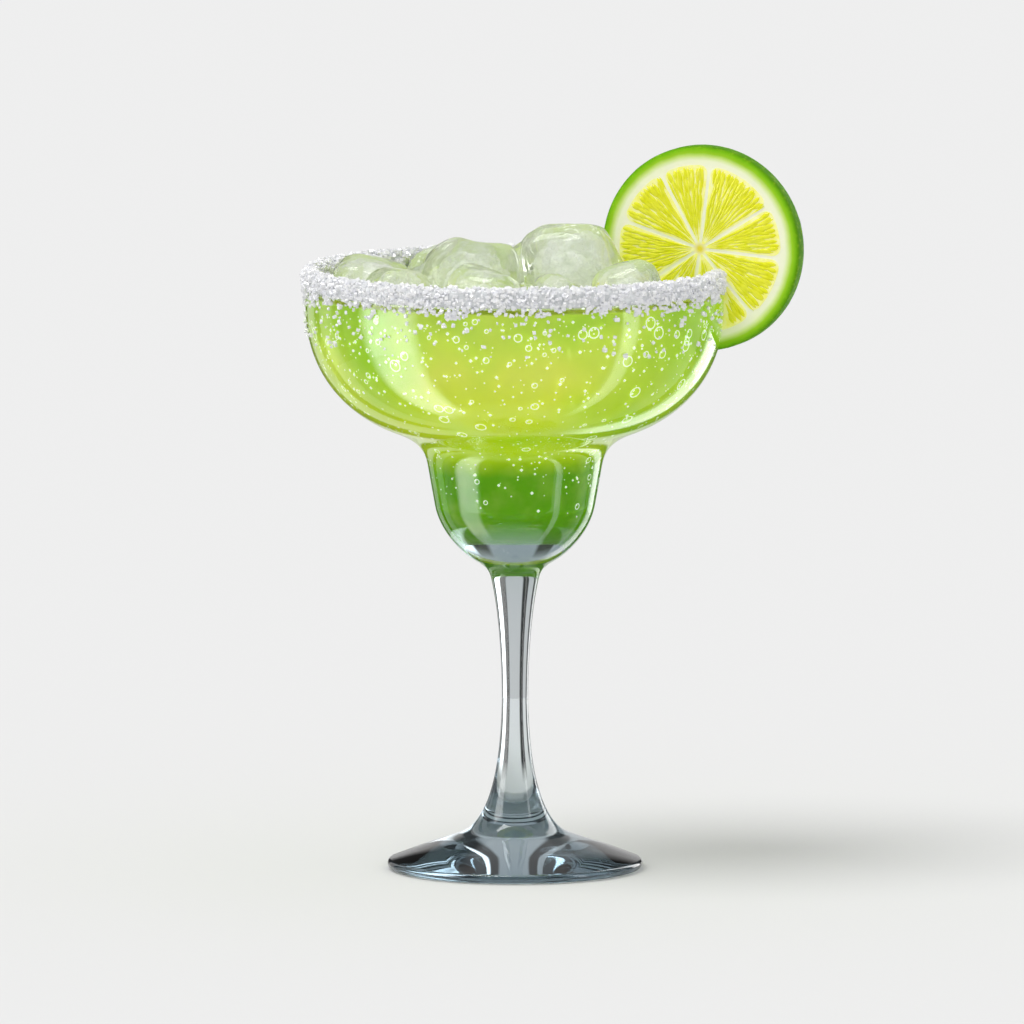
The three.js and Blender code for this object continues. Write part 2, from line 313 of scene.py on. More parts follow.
def footAndStem():
    edge = glass["footEdge"] / 2
    middle = (glass["footRadius"] - edge, edge)
    points = [(0, 0), (middle[0] / 2, 0)]
    points += arc(middle, edge, -90, glass["footEdgeTurn"], glass["footEdgeSteps"])
    points += [glass["footSlope"], glass["footSlopeEnd"]]
    route = ("footSlopeEnd", "stemWaist", "stemTop", "cupUnderside", "cupWallLow")
    for start, end, bend in zip(route, route[1:], ("footBend", "stemBend", "neckBend", "cupBend")):
        points += curve(glass[start], glass[end], *glass[bend])
    return points


def bowlOutside():
    low, high, shoulder = (glass[name] for name in ("cupWallLow", "cupWallHigh", "shoulder"))
    side = (glass["rimRadius"], glass["bowlWallHeight"])
    lip = (glass["rimRadius"], glass["height"] - glass["wall"] / 2)
    points = [low] + curve(low, high, *glass["cupWallBend"])
    points += curve(high, shoulder, *glass["shoulderBend"])
    points += curve(shoulder, side, *glass["bowlBend"])
    return points + curve(side, lip, *glass["rimWallBend"])


# The bowl's inside at a distance from its outside, from the middle of the cup's floor upwards
def bowlInside(distance, floor):
    wall = inset(bowlOutside(), distance)
    start, low = (0, floor), wall[0]
    leave = (low[0] * glass["floorReach"], 0)
    arrive = (low[0] * (glass["floorTurn"] - 1), floor + glass["floorRise"] - low[1])
    return [start] + curve(start, low, leave, arrive, glass["floorSteps"]) + wall[1:]


# The round of the lip, or a round at a distance over it
def lipArc(distance, steps):
    half = glass["wall"] / 2
    middle = (glass["rimRadius"] - half, glass["height"] - half)
    return arc(middle, half + distance, 0, 180, steps)


def radiusAt(points, height):
    for below, above in zip(points, points[1:]):
        if below[1] <= height <= above[1]:
            share = (height - below[1]) / max(above[1] - below[1], 1e-6)
            return between(below[0], above[0], share)
    return points[-1][0]


def clearGlass():
    finish = Finish("clear glass")
    finish.set(Base_Color=glass["clear"], Roughness=0.0, IOR=1.5, Transmission_Weight=1.0)
    absorb = finish.node("ShaderNodeVolumeAbsorption", None, {
        "Color": glass["tint"], "Density": glass["tintDensity"]})
    finish.feed(finish.output.inputs["Volume"], absorb)
    return finish.material


def makeGlass():
    inside = bowlInside(glass["wall"], glass["cupFloorHeight"])
    profile = footAndStem() + bowlOutside()[1:-1] + lipArc(0, glass["lipSteps"]) + inside[::-1][1:]
    piece = spinProfile("margarita_glass", profile, glass["turns"])
    settle(piece, clearGlass(), "glass", "glass")


# Drink: fills the bowl to its level and reaches just into the wall.
# Its colours go by share of height, from the cup's floor to the surface. Its right side and, less, its left
# edge are painted a deeper green as shade, and it glows with painted light in its own colour
drink = {
    "level": 155, "intoWall": 0.12, "meniscus": 0.9, "meniscusReach": 2.6, "meniscusSteps": 8,
    "surfaceRings": 8, "wallStop": 0.2, "turns": 144,
    "colourLow": 87, "colourHigh": 156,
    "colours": ((0.0, paint(114, 184, 2)), (0.29, paint(114, 184, 2)), (0.42, paint(226, 245, 14)),
                (0.55, paint(234, 248, 40)), (0.74, paint(246, 253, 112)), (1.0, paint(238, 249, 116))),
    "swirlSize": 26, "swirlLift": 9, "swirlDrift": 24,
    "greenSwirlAndShade": paint(166, 225, 28), "swirlAndShadeShare": 0.8, "greenUp": (0.36, 0.5),
    "rightShadeReach": (14, 50), "leftShadeReach": (-34, -54), "leftShadeShare": 0.6,
    "cloudSize": 46, "cloudShift": (0.0, 0.02, 0.0), "cloudReach": (0.42, 0.66),
    "haze": paint(236, 246, 130), "hazeSize": 7, "hazeReach": (0.45, 0.75), "hazeShare": 0.2,
    "surface": paint(178, 203, 66), "surfacePale": paint(206, 222, 104), "surfaceReach": (0.4, 0.7),
    "surfaceDepth": 0.5, "rippleSize": 9, "rippleDepth": 0.6, "scatter": 6, "glow": 0.26,
}


def limeDrink():
    finish = Finish("cloudy lime drink")
    place = finish.place()
    across, _, height = finish.split(place)
    swirl = finish.noise(place, drink["swirlSize"], 3.0)
    haze = finish.noise(place, drink["hazeSize"], 4.0)
    lifted = height + (swirl - 0.5) * drink["swirlLift"] * mm
    level = finish.fitMm(lifted, drink["colourLow"], drink["colourHigh"])
    colour = finish.ramp(level, drink["colours"])
    shifted = finish.node("ShaderNodeMapping", None, {"Vector": place, "Location": drink["cloudShift"]})
    cloud = finish.noise(shifted, drink["cloudSize"], 2.0)
    # Painted shade: the right side and, less, the left edge turn a deeper green, together with random green
    # swirls
    drift = across + (swirl - 0.5) * drink["swirlDrift"] * mm
    right = finish.fitMm(drift, *drink["rightShadeReach"])
    left = finish.fitMm(drift, *drink["leftShadeReach"]) * drink["leftShadeShare"]
    green = finish.fit(cloud, *drink["cloudReach"]).maths("MAXIMUM", right + left)
    green = green * finish.fit(level, *drink["greenUp"]) * drink["swirlAndShadeShare"]
    colour = finish.mix(green, colour, drink["greenSwirlAndShade"])
    hazy = finish.fit(haze, *drink["hazeReach"]) * drink["hazeShare"]
    colour = finish.mix(hazy, colour, drink["haze"])
    top = finish.fitMm(height, drink["level"] - drink["surfaceDepth"], drink["level"])
    patches = finish.fit(haze, *drink["surfaceReach"])
    surface = finish.mix(patches, drink["surface"], drink["surfacePale"])
    ripple = finish.noise(place, drink["rippleSize"], 2.0)
    # The drink glows in its own colour, except on its top: painted light that stands in for light through the
    # drink
    finish.set(Base_Color=finish.mix(top, colour, surface), Roughness=0.04, IOR=1.34,
               Transmission_Weight=0.25, Subsurface_Weight=1.0,
               Subsurface_Radius=(1.0, 1.0, 0.3), Subsurface_Scale=drink["scatter"] * mm,
               Emission_Color=finish.mix(top, colour, black), Emission_Strength=drink["glow"],
               Normal=finish.bump(ripple * top, drink["rippleDepth"], 0.5))
    return finish.material


def makeDrink():
    level, rise, reach = drink["level"], drink["meniscus"], drink["meniscusReach"]
    into = drink["intoWall"]
    wall = bowlInside(glass["wall"] - into, glass["cupFloorHeight"] - into)
    wetTop = level + rise
    edge = radiusAt(wall, wetTop)
    profile = [point for point in wall if point[1] < wetTop - drink["wallStop"]] + [(edge, wetTop)]
    steps, rings = drink["meniscusSteps"], drink["surfaceRings"]
    for step in range(1, steps + 1):       # the surface climbs a little where it meets the wall
        profile.append((edge - reach * step / steps, level + rise * (1 - step / steps) ** 2))
    for ring in range(1, rings + 1):
        profile.append(((edge - reach) * (1 - ring / rings), level))
    piece = spinProfile("lime_drink", profile, drink["turns"])
    settle(piece, limeDrink(), "drink", "drink")


# Ice: each lump of the frame is rounded, then melted into dents.
# A veil has its name, its share of the lump, and how thin and thick it is
ice = {
    "seam": 0.02, "squareUp": 60, "rounded": 1, "split": 2, "hollow": 3.2, "hollowSize": 12,
    "ripple": 0.45, "rippleSize": 3.2, "smoothing": 0.5, "smoothings": 3, "veilRagged": 2.6,
    "veils": (("outer_ice_veils", 0.80, 0.02, 0.22), ("middle_ice_veils", 0.62, 0.10, 0.45),
              ("inner_ice_clouds", 0.42, 0.3, 0.8)),
    "tinted": paint(246, 251, 240), "frostSize": 6, "frostReach": (0.42, 0.72),
    "grainSize": 1.4, "grainDepth": 0.08,
    "cloudTinted": paint(240, 246, 236), "cloudSize": 3.2, "whiteReach": (0.35, 0.65),
    "thickReach": (0.35, 0.7), "cloudPaintedGlow": 0.2,
}


def meltedIce():
    finish = Finish("melting ice")
    place = finish.place()
    frost = finish.fit(finish.noise(place, ice["frostSize"], 5.0, 0.6), *ice["frostReach"])
    grain = finish.noise(place, ice["grainSize"], 3.0)
    finish.set(Base_Color=finish.mix(frost, ice["tinted"], white), Roughness=0.02 + frost * 0.08,
               IOR=1.31, Transmission_Weight=0.82, Normal=finish.bump(grain, ice["grainDepth"], 0.4))
    return finish.material


def cloudyIce(name, thin, thick):
    finish = Finish(name)
    cloud = finish.noise(finish.place(), ice["cloudSize"], 5.0, 0.65)
    colour = finish.mix(finish.fit(cloud, *ice["whiteReach"]), ice["cloudTinted"], white)
    veil = thin + finish.fit(cloud, *ice["thickReach"]) * (thick - thin)
    # The clouds glow a little in their own colour: painted light
    finish.set(Base_Color=colour, Roughness=0.7, IOR=1.2, Alpha=veil,
               Emission_Color=colour, Emission_Strength=ice["cloudPaintedGlow"])
    return finish.material


def meltLump(node, hollows, ripples):
    piece = addObject("melted_" + node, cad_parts[node].data.copy())
    closeSeams(piece, ice["seam"])
    editAll(piece)
    square = radians(ice["squareUp"])
    bpy.ops.mesh.tris_convert_to_quads(face_threshold=square, shape_threshold=square)
    leaveEdit()
    for way, levels in (("CATMULL_CLARK", ice["rounded"]), ("SIMPLE", ice["split"])):
        addModifier(piece, "SUBSURF", subdivision_type=way, levels=levels, render_levels=levels)
    roughen(piece, hollows, ice["hollow"])
    roughen(piece, ripples, ice["ripple"])
    addModifier(piece, "SMOOTH", factor=ice["smoothing"], iterations=ice["smoothings"])
    bpy.ops.object.shade_smooth()
    return piece


# The cloudy middle of a lump: its own shape drawn in, and ragged
def makeIceVeil(lump, node, size, ragged):
    veil = addObject("veil_in_" + node, lump.data.copy())
    low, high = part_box(node)
    editAll(veil)
    bpy.ops.transform.resize(value=(size, size, size), center_override=(Vector(low) + Vector(high)) / 2)
    leaveEdit()
    roughen(veil, ragged, ice["veilRagged"])
    bpy.ops.object.shade_smooth()
    return veil


def joinVeils(name, veils, finish):
    deselectAll()
    for veil in veils:
        veil.select_set(True)
    bpy.context.view_layer.objects.active = veils[0]
    bpy.ops.object.join()
    veils[0].name = name
    settle(veils[0], finish, "ice")


def makeIce():
    finish = meltedIce()
    veils = {name: [] for name, _, _, _ in ice["veils"]}
    hollows = lumpTexture("ice hollows", "VORONOI", ice["hollowSize"])
    ripples = lumpTexture("ice ripples", "CLOUDS", ice["rippleSize"])
    for node in sorted(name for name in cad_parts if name.startswith("ice_")):
        piece = meltLump(node, hollows, ripples)
        for name, size, _, _ in ice["veils"]:
            veils[name].append(makeIceVeil(piece, node, size, ripples))
        settle(piece, finish, "ice", node)
    for name, _, thin, thick in ice["veils"]:
        joinVeils(name, veils[name], cloudyIce(name.replace("_", " "), thin, thick))


# Salt: a crust over the lip, covered with loose crystals, with a gap for the lime.
# The band of crystals has a ragged edge, a sum of waves round the rim
salt = {
    "crustOutside": 4.4, "crustInside": 3.0, "crustThickness": 0.5, "clear": 0.06, "lipSteps": 12,
    "crustBevel": 0.8, "crustLipLow": 3, "outerToe": 0.5, "innerToe": 0.6, "lumpSize": 1.6, "lumpDepth": 0.35,
    "gapBegin": 4.2, "gapEnd": -7.2, "turns": 200,
    "bandOutside": 5.8, "bandInside": 3.8, "raggedOutside": 2.0, "raggedInside": 0.5,
    "waves": 12, "waveCounts": (3, 40), "waveHeights": (0.3, 1), "waveEasing": 3.2,
    "crystals": 6600, "smallest": 0.5, "largest": 1.35, "sizeDrop": (0.7, 1), "proud": (-0.1, 0.5),
    "thinFrom": 0.55, "thinning": 0.75, "insideShare": 0.8, "gapMargin": (0.004, 0.996),
    "sideSpread": (0.7, 1.25), "cornerSkew": (0.72, 1.1),
    "strays": 460, "strayDepth": 19, "strayCrowd": 2.2, "straySize": 0.85, "strayProud": 0.28, "seed": 41,
    "crustShadeColours": (paint(213, 216, 218), paint(237, 239, 240)),
    "crystalColours": (paint(240, 241, 247), paint(255, 255, 254)),
    "tintSize": 1.2, "tintReach": (0.35, 0.65), "grainSize": 0.35, "grainDepth": 0.05,
    "scatter": 0.2, "glow": 0.03,
}


def saltSweep():
    return 360 - (salt["gapBegin"] - salt["gapEnd"])


def coarseSalt(name, dull, bright):
    finish = Finish(name)
    place = finish.place()
    tint = finish.fit(finish.noise(place, salt["tintSize"], 2.0), *salt["tintReach"])
    grain = finish.noise(place, salt["grainSize"], 2.0)
    # The salt glows faintly in its bright colour: painted light that lifts its shaded side
    finish.set(Base_Color=finish.mix(tint, dull, bright), Roughness=0.2, IOR=1.54, Transmission_Weight=0.12,
               Subsurface_Weight=0.3, Subsurface_Radius=(1.0, 1.0, 1.0),
               Subsurface_Scale=salt["scatter"] * mm,
               Emission_Color=bright, Emission_Strength=salt["glow"],
               Normal=finish.bump(grain, salt["grainDepth"], 0.6))
    return finish.material


def makeSaltCrust():
    height, rim = glass["height"], glass["rimRadius"]
    inner = rim - glass["wall"]
    clear = salt["clear"]
    thick = clear + salt["crustThickness"]
    low, lowInside = height - salt["crustOutside"], height - salt["crustInside"]
    lipLow = height - salt["crustLipLow"]
    face = [(rim + thick * salt["outerToe"], low), (rim + thick, low + salt["crustBevel"]),
            (rim + thick, lipLow)]
    face += lipArc(thick, salt["lipSteps"]) + [(inner - thick * salt["innerToe"], lowInside)]
    back = [(inner - clear, lowInside)] + lipArc(clear, salt["lipSteps"])[::-1]
    back += [(rim + clear, lipLow), (rim + clear, low)]
    piece = spinProfile("salt_crust", face + back, salt["turns"], saltSweep(), salt["gapBegin"],
                        closed=True)
    roughen(piece, lumpTexture("salt lumps", "CLOUDS", salt["lumpSize"]), salt["lumpDepth"])
    # The crust is painted greyer than the crystals, as shade in the gaps between them
    settle(piece, coarseSalt("salt crust in painted shade", *salt["crustShadeColours"]), "salt", "salt_rim")


# A crooked block: its corners, in the order that its faces count them
def crystal(middle, size, draw):
    turn = Matrix.Identity(3)
    for axis in "XZ":
        turn = turn @ Matrix.Rotation(draw.uniform(0, tau), 3, axis)
    half = [size / 2 * draw.uniform(*salt["sideSpread"]) for _ in range(3)]
    corners = []
    for signs in product((-1, 1), repeat=3):
        skew = draw.uniform(*salt["cornerSkew"])
        corners.append(middle + turn @ Vector([s * h for s, h in zip(signs, half)]) * skew)
    return corners


crystalFaces = ((0, 1, 3, 2), (4, 6, 7, 5), (0, 4, 5, 1), (2, 3, 7, 6), (0, 2, 6, 4), (1, 5, 7, 3))


# Where a crystal of the band lies: down the outside, over the lip, or down the inside
def bandPlace(along, low, overLip, proud):
    rim, height, half = glass["rimRadius"], glass["height"], glass["wall"] / 2
    if along < low:
        begin = salt["thinFrom"]
        thin = 1 - salt["thinning"] * max(0, (along / low - begin) / (1 - begin))
        return rim + proud * thin, height - half - along
    if along < low + overLip:
        tilt = (along - low) / overLip * pi
        reach = half + proud
        return rim - half + reach * cos(tilt), height - half + reach * sin(tilt)
    return rim - 2 * half - proud * salt["insideShare"], height - half - (along - low - overLip)


def makeSaltCrystals():
    draw = random.Random(salt["seed"])
    height, half, thick = glass["height"], glass["wall"] / 2, salt["crustThickness"]
    sizes, band = (salt["smallest"], salt["largest"]), salt["bandOutside"]
    outside = bowlOutside()
    waves = [(draw.randint(*salt["waveCounts"]), draw.uniform(0, tau),
              draw.uniform(*salt["waveHeights"])) for _ in range(salt["waves"])]
    overLip = pi * (half + thick)
    points, faces = [], []

    def addCrystal(radius, level, around, size):
        middle = Vector((radius * cos(around), radius * sin(around), level)) * mm
        first = len(points)
        points.extend(crystal(middle, size * mm, draw))
        faces.extend([tuple(first + i for i in face) for face in crystalFaces])

    def anyTurn():
        return radians(salt["gapBegin"] + draw.uniform(*salt["gapMargin"]) * saltSweep())

    for _ in range(salt["crystals"]):
        around = anyTurn()
        ragged = sum(w * sin(n * around + p) for n, p, w in waves) / salt["waveEasing"]
        low = band + salt["raggedOutside"] * ragged - half
        inner = salt["bandInside"] + salt["raggedInside"] * ragged - half
        size = draw.uniform(*sizes) * draw.uniform(*salt["sizeDrop"])
        along = draw.uniform(0, low + overLip + inner)
        proud = thick + draw.uniform(*salt["proud"])
        radius, level = bandPlace(along, low, overLip, proud)
        addCrystal(radius, level, around, size)
    for _ in range(salt["strays"]):      # loose crystals that fell down the outside
        level = height - between(band, salt["strayDepth"], draw.random() ** salt["strayCrowd"])
        size = draw.uniform(*sizes) * salt["straySize"]
        addCrystal(radiusAt(outside, level) + size * salt["strayProud"], level, anyTurn(), size)
    piece = meshFromArrays("salt_crystals", points, faces)
    settle(piece, coarseSalt("coarse salt", *salt["crystalColours"]), "salt")


# Lime: a wheel slotted over the rim, made flat and then set upright
lime = {
    "radius": 27.5, "thickness": 6, "sides": 224, "peelRound": 1.2, "peelRoundSteps": 5,
    "faceRings": (0.7, 0.9, 0.9, 1.4, 2.2, 3.2, 4.4), "middle": (50.3, 0, 167), "turn": -18,
    "poreSize": 1.3, "poreDepth": 0.22, "smoothAngle": 40,
    "slotGap": 0.25, "slotFirst": 24, "slotSteps": 8, "slotSweep": 40, "slotTurns": 96,
    "fleshRadius": 22.5, "core": 1.6, "membrane": 0.9, "corner": 2.2, "cornerSteps": 5, "edgeSteps": 8,
    "tipClear": 0.3, "tipLimit": 0.95, "segmentProud": 0.12,
    "firstMembrane": 83, "segments": (36, 43, 51, 49, 48, 45, 37, 51), "seed": 7,
}
peel = {
    "wander": 0.7, "wanderSize": 5, "ringsFrom": 21, "ringsTo": 27.6,
    "rings": ((0.0, paint(250, 252, 228)), (0.42, paint(243, 248, 214)), (0.60, paint(205, 228, 128)),
              (0.72, paint(158, 206, 44)), (0.88, paint(120, 186, 20)), (1.0, paint(88, 156, 12))),
    "core": paint(238, 222, 70), "coreReach": (0.5, 2.2), "rindReach": (0.8, 1.0),
    "spots": paint(168, 206, 44), "spotSize": 1.1, "spotDepth": 0.12, "spotReach": (0.5, 0.7),
    "spotShare": 0.45, "scatter": 1.2, "glow": 0.06,
}
pulp = {
    "streakSize": 2.2, "streakReach": (0.35, 0.7), "patch": paint(218, 228, 56), "patchSize": 9,
    "patchReach": (0.5, 0.75), "patchShare": 0.3, "beadSize": 0.7, "beadDepth": 0.06, "scatter": 0.25,
    # The third number of each is the strength of a painted glow
    "segments": (paint(250, 248, 190), paint(245, 241, 118), 0.16),
    "sacs": (paint(242, 240, 70), paint(230, 231, 22), 0.08),
}


def limePlace():
    upright = Matrix.Rotation(radians(90), 4, "X")
    turned = Matrix.Rotation(radians(lime["turn"]), 4, "Z")
    return Matrix.Translation(Vector(lime["middle"]) * mm) @ turned @ upright


# The wheel's own flat place: across, up and through, in metres
def wheelPlace(finish):
    place = limePlace()
    return finish.node("ShaderNodeMapping", {"vector_type": "TEXTURE"}, {
        "Vector": finish.place(), "Location": place.translation, "Rotation": place.to_euler("XYZ")})


def limePeel():
    finish = Finish("lime peel and pith")
    place = wheelPlace(finish)
    across, up, _ = finish.split(place)
    radius = (across * across + up * up) ** 0.5
    wander = (finish.noise(place, peel["wanderSize"], 3.0) - 0.5) * peel["wander"] * mm
    share = finish.fitMm(radius + wander, peel["ringsFrom"], peel["ringsTo"])
    colour = finish.ramp(share, peel["rings"])
    colour = finish.mix(finish.fitMm(radius, *peel["coreReach"]), peel["core"], colour)
    spots = finish.noise(place, peel["spotSize"], 2.0)
    spotted = finish.fit(spots, *peel["spotReach"]) * finish.fit(share, *peel["rindReach"])
    colour = finish.mix(spotted * peel["spotShare"], colour, peel["spots"])
    # The peel and pith glow faintly in their own colours: painted light
    finish.set(Base_Color=colour, Roughness=0.6, Specular_IOR_Level=0.05,
               Subsurface_Weight=0.35, Subsurface_Scale=peel["scatter"] * mm,
               Subsurface_Radius=(1.0, 1.0, 0.4), Emission_Color=colour, Emission_Strength=peel["glow"],
               Normal=finish.bump(spots, peel["spotDepth"], 0.5))
    return finish.material


def limeFlesh(name, pale, rich, glow):
    finish = Finish(name)
    place = wheelPlace(finish)
    streak = finish.noise(place, pulp["streakSize"], 3.0)
    patch = finish.noise(place, pulp["patchSize"], 2.0)
    colour = finish.mix(finish.fit(streak, *pulp["streakReach"]), rich, pale)
    patched = finish.fit(patch, *pulp["patchReach"]) * pulp["patchShare"]
    colour = finish.mix(patched, colour, pulp["patch"])
    beads = finish.noise(place, pulp["beadSize"], 2.0)
    # The flesh glows in its own colour at the given strength: painted light that brightens the pulp and the
    # shade between its sacs
    finish.set(Base_Color=colour, Roughness=0.18, IOR=1.36, Emission_Color=colour, Emission_Strength=glow,
               Subsurface_Weight=0.4, Subsurface_Scale=pulp["scatter"] * mm,
               Subsurface_Radius=(1.0, 1.0, 0.4), Coat_Weight=0.3, Coat_Roughness=0.08,
               Normal=finish.bump(beads, pulp["beadDepth"], 0.4))
    return finish.material


# The rim near the lime, a little thicker than it is, to cut the slot with
def rimCutter():
    gap, first = lime["slotGap"], lime["slotFirst"]
    outside = inset(bowlOutside(), -gap)[first:-1]
    inside = inset(bowlOutside(), glass["wall"] + gap)[first:-1]
    profile = outside + lipArc(gap, lime["slotSteps"]) + inside[::-1]
    sweep = lime["slotSweep"]
    return spinProfile("rim_cutter", profile, lime["slotTurns"], sweep, -sweep / 2, closed=True)


def makeLimePeel(cutter):
    deselectAll()
    radius, thickness = lime["radius"] * mm, lime["thickness"] * mm
    bpy.ops.mesh.primitive_cylinder_add(
        vertices=lime["sides"], radius=radius, depth=thickness, end_fill_type="NGON")
    piece = bpy.context.object
    piece.name = "lime_peel"
    editAll(piece)
    bpy.ops.mesh.select_mode(type="FACE")
    editFaces(piece, lambda face: abs(face.normal.z) > 0.9)
    bpy.ops.mesh.bevel(offset=lime["peelRound"] * mm, segments=lime["peelRoundSteps"], affect="EDGES")
    editFaces(piece, lambda face: abs(face.normal.z) > 0.99 and face.area > radius * radius)
    for step in lime["faceRings"]:
        bpy.ops.mesh.inset(thickness=step * mm, use_individual=True)
    leaveEdit()
    piece.matrix_world = limePlace()
    pickOnly(piece)
    bpy.ops.object.transform_apply(location=True, rotation=True, scale=True)
    closeSeams(piece)
    roughen(piece, lumpTexture("peel pores", "CLOUDS", lime["poreSize"]), lime["poreDepth"])
    cutAway(piece, cutter)
    closeSeams(piece)
    bpy.ops.object.shade_smooth_by_angle(angle=radians(lime["smoothAngle"]))
    settle(piece, limePeel(), "lime", "lime_wheel")


def onWheel(radius, turn):
    return (radius * cos(turn), radius * sin(turn))


# The outline of one segment of flesh, with round corners, between its two membranes
def segmentOutline(low, high):
    side, corner, flesh = lime["membrane"] / 2, lime["corner"], lime["fleshRadius"]
    reach = flesh - corner
    inner = max(lime["core"], side / sin((high - low) / 2) + lime["tipClear"])
    tipIn = asin(min(lime["tipLimit"], side / inner))
    turnIn = asin((side + corner) / reach)
    first, last = low + turnIn, high - turnIn
    firstDeg, lastDeg = degrees(first), degrees(last)
    steps = lime["cornerSteps"]
    outline = [onWheel(inner, low + tipIn)]
    outline += arc(onWheel(reach, first), corner, degrees(low) - 90, firstDeg, steps)
    outline += arc((0, 0), flesh, firstDeg, lastDeg, lime["edgeSteps"])[1:-1]
    outline += arc(onWheel(reach, last), corner, lastDeg, degrees(high) + 90, steps)
    return outline + [onWheel(inner, high - tipIn)]


def segmentTurns():
    begin = lime["firstMembrane"]
    for span in lime["segments"]:
        yield radians(begin), radians(begin + span)
        begin += span


def makeLimeSegments(cutter):
    points, faces = [], []
    depth = lime["thickness"] / 2 + lime["segmentProud"]
    for low, high in segmentTurns():
        outline = segmentOutline(low, high)
        first, count = len(points), len(outline)
        for level in (-depth, depth):
            points.extend(Vector((x, y, level)) * mm for x, y in outline)
        faces.append(tuple(first + i for i in reversed(range(count))))
        faces.append(tuple(first + count + i for i in range(count)))
        for i in range(count):
            after = (i + 1) % count
            faces.append((first + i, first + after, first + count + after, first + count + i))
    piece = meshFromArrays("lime_segments", points, faces)
    piece.matrix_world = limePlace()
    closeSeams(piece)
    bpy.ops.object.transform_apply(location=True, rotation=True, scale=True)
    cutAway(piece, cutter)
    settle(piece, limeFlesh("pale lime flesh", *pulp["segments"]), "lime")


# Juice sacs: rows of drops along the wheel's radius, on both faces
sac = {
    "sides": 6, "rings": 5, "taper": 1.35, "roundness": 0.7, "proud": 0.09, "depth": (0.22, 0.36),
    "firstRow": 0.8, "lastRow": 2, "rowStep": 2.6, "width": 0.45, "widening": 0.05,
    "widthSpread": (0.78, 1.1), "spreadAt": 2.5, "crowding": 0.9, "sideShift": (-0.25, 0.25),
    "length": (4.5, 8.5), "endGap": (0.1, 0.7), "startShift": (-0.8, 0.8), "lean": (-0.02, 0.02),
    "leastRoom": 0.2, "leastLength": 1.5, "widestAt": 0.35,
    "slotIn": 1, "slotOver": 0.6, "slotHalf": 2.2,
}


# One drop, thin towards the middle of the wheel
def juiceSac(start, end, width, depth, level, points, faces):
    sides, rings = sac["sides"], sac["rings"]
    base = Vector((start[0], start[1], level))
    along = Vector((end[0], end[1], level)) - base
    beside = Vector((-along.y, along.x, 0)).normalized()
    first = len(points)
    points.append(base * mm)
    for ring in range(1, rings + 1):
        t = ring / (rings + 1)
        swell = sin(pi * t ** sac["taper"]) ** sac["roundness"]
        for side in range(sides):
            a = tau * side / sides
            offset = beside * (cos(a) * width / 2 * swell) + Vector((0, 0, sin(a) * depth * swell))
            points.append((base + along * t + offset) * mm)
    points.append((base + along) * mm)
    last = len(points) - 1
    for side in range(sides):
        after = (side + 1) % sides
        faces.append((first, first + 1 + after, first + 1 + side))
        for ring in range(rings - 1):
            a = first + 1 + ring * sides
            faces.append((a + side, a + after, a + sides + after, a + sides + side))
        a = first + 1 + (rings - 1) * sides
        faces.append((a + side, a + after, last))


# The two ends of each sac of a segment, as (radius, turn), and its width
def sacPlaces(low, high, draw):
    flesh = lime["fleshRadius"]
    reach = lime["core"] + sac["firstRow"]
    while reach < flesh - sac["lastRow"]:
        width = sac["width"] + sac["widening"] * reach
        room = (high - low) * (reach + sac["spreadAt"])
        count = max(1, int(room / (width * sac["crowding"])))
        for i in range(count):
            turn = between(low, high, (i + 0.5 + draw.uniform(*sac["sideShift"])) / count)
            far = min(reach + draw.uniform(*sac["length"]), flesh - draw.uniform(*sac["endGap"]))
            near = reach + draw.uniform(*sac["startShift"])
            lean = draw.uniform(*sac["lean"])
            yield (near, turn), (far, turn + lean), width * draw.uniform(*sac["widthSpread"])
        reach += sac["rowStep"]


# How far a sac is from the membranes on its two sides, where it is widest and at its end
def sacRoom(near, far, low, high):
    widest = (between(near[0], far[0], sac["widestAt"]), near[1])
    return min(abs(radius * sin(away)) for radius, turn in (widest, far)
               for away in (turn - low, high - turn))


def inSlot(start, end, width):
    across = glass["rimRadius"] - sac["slotIn"] - lime["middle"][0]
    beside = abs((start[0] + end[0]) / 2 - across / cos(radians(lime["turn"])))
    top = glass["height"] + sac["slotOver"] - lime["middle"][2]
    return min(start[1], end[1]) < top and beside < sac["slotHalf"] + width


def makeJuiceSacs():
    draw = random.Random(lime["seed"])
    membrane = lime["membrane"] / 2
    points, faces = [], []
    for facing in (1, -1):
        level = facing * (lime["thickness"] / 2 + sac["proud"])
        for low, high in segmentTurns():
            for near, far, width in sacPlaces(low, high, draw):
                room = sacRoom(near, far, low, high)
                if room < membrane + sac["leastRoom"] or far[0] - near[0] < sac["leastLength"]:
                    continue
                width = min(width, 2 * (room - membrane))
                start, end = onWheel(*near), onWheel(*far)
                if not inSlot(start, end, width):
                    juiceSac(start, end, width, draw.uniform(*sac["depth"]), level, points, faces)
    piece = meshFromArrays("lime_juice_sacs", points, faces)
    piece.matrix_world = limePlace()
    closeSeams(piece)
    bpy.ops.object.shade_smooth()
    settle(piece, limeFlesh("lime juice sacs", *pulp["sacs"]), "lime")


# Bubbles: white specks and rings that cling to the wall inside the drink, painted highlights and bright rims
# that stand in for clear bubbles, and foam on its surface
bubble = {
    "specks": 1700, "speckSmallest": 0.16, "speckLargest": 0.56, "speckRise": 0.5, "speckCrowd": 2,
    "rings": 170, "ringSmallest": 0.5, "ringLargest": 1.6, "ringRise": 0.6, "ringCrowd": 2.2,
    "ringSides": 14, "ringSwings": 4, "band": 0.07, "bandShare": 0.05,
    "paintedGlint": 0.1, "paintedGlintShare": 0.14, "paintedGlintAway": 0.45,
    "foam": 520, "foamEdge": 0.6, "foamMiddle": 4, "foamCrowd": 2.6,
    "low": 96, "high": 153, "proud": 0.3, "slopeHalf": 0.5, "seed": 23,
    "tinted": paint(240, 250, 226), "tintSize": 2, "glow": 0.65,
}


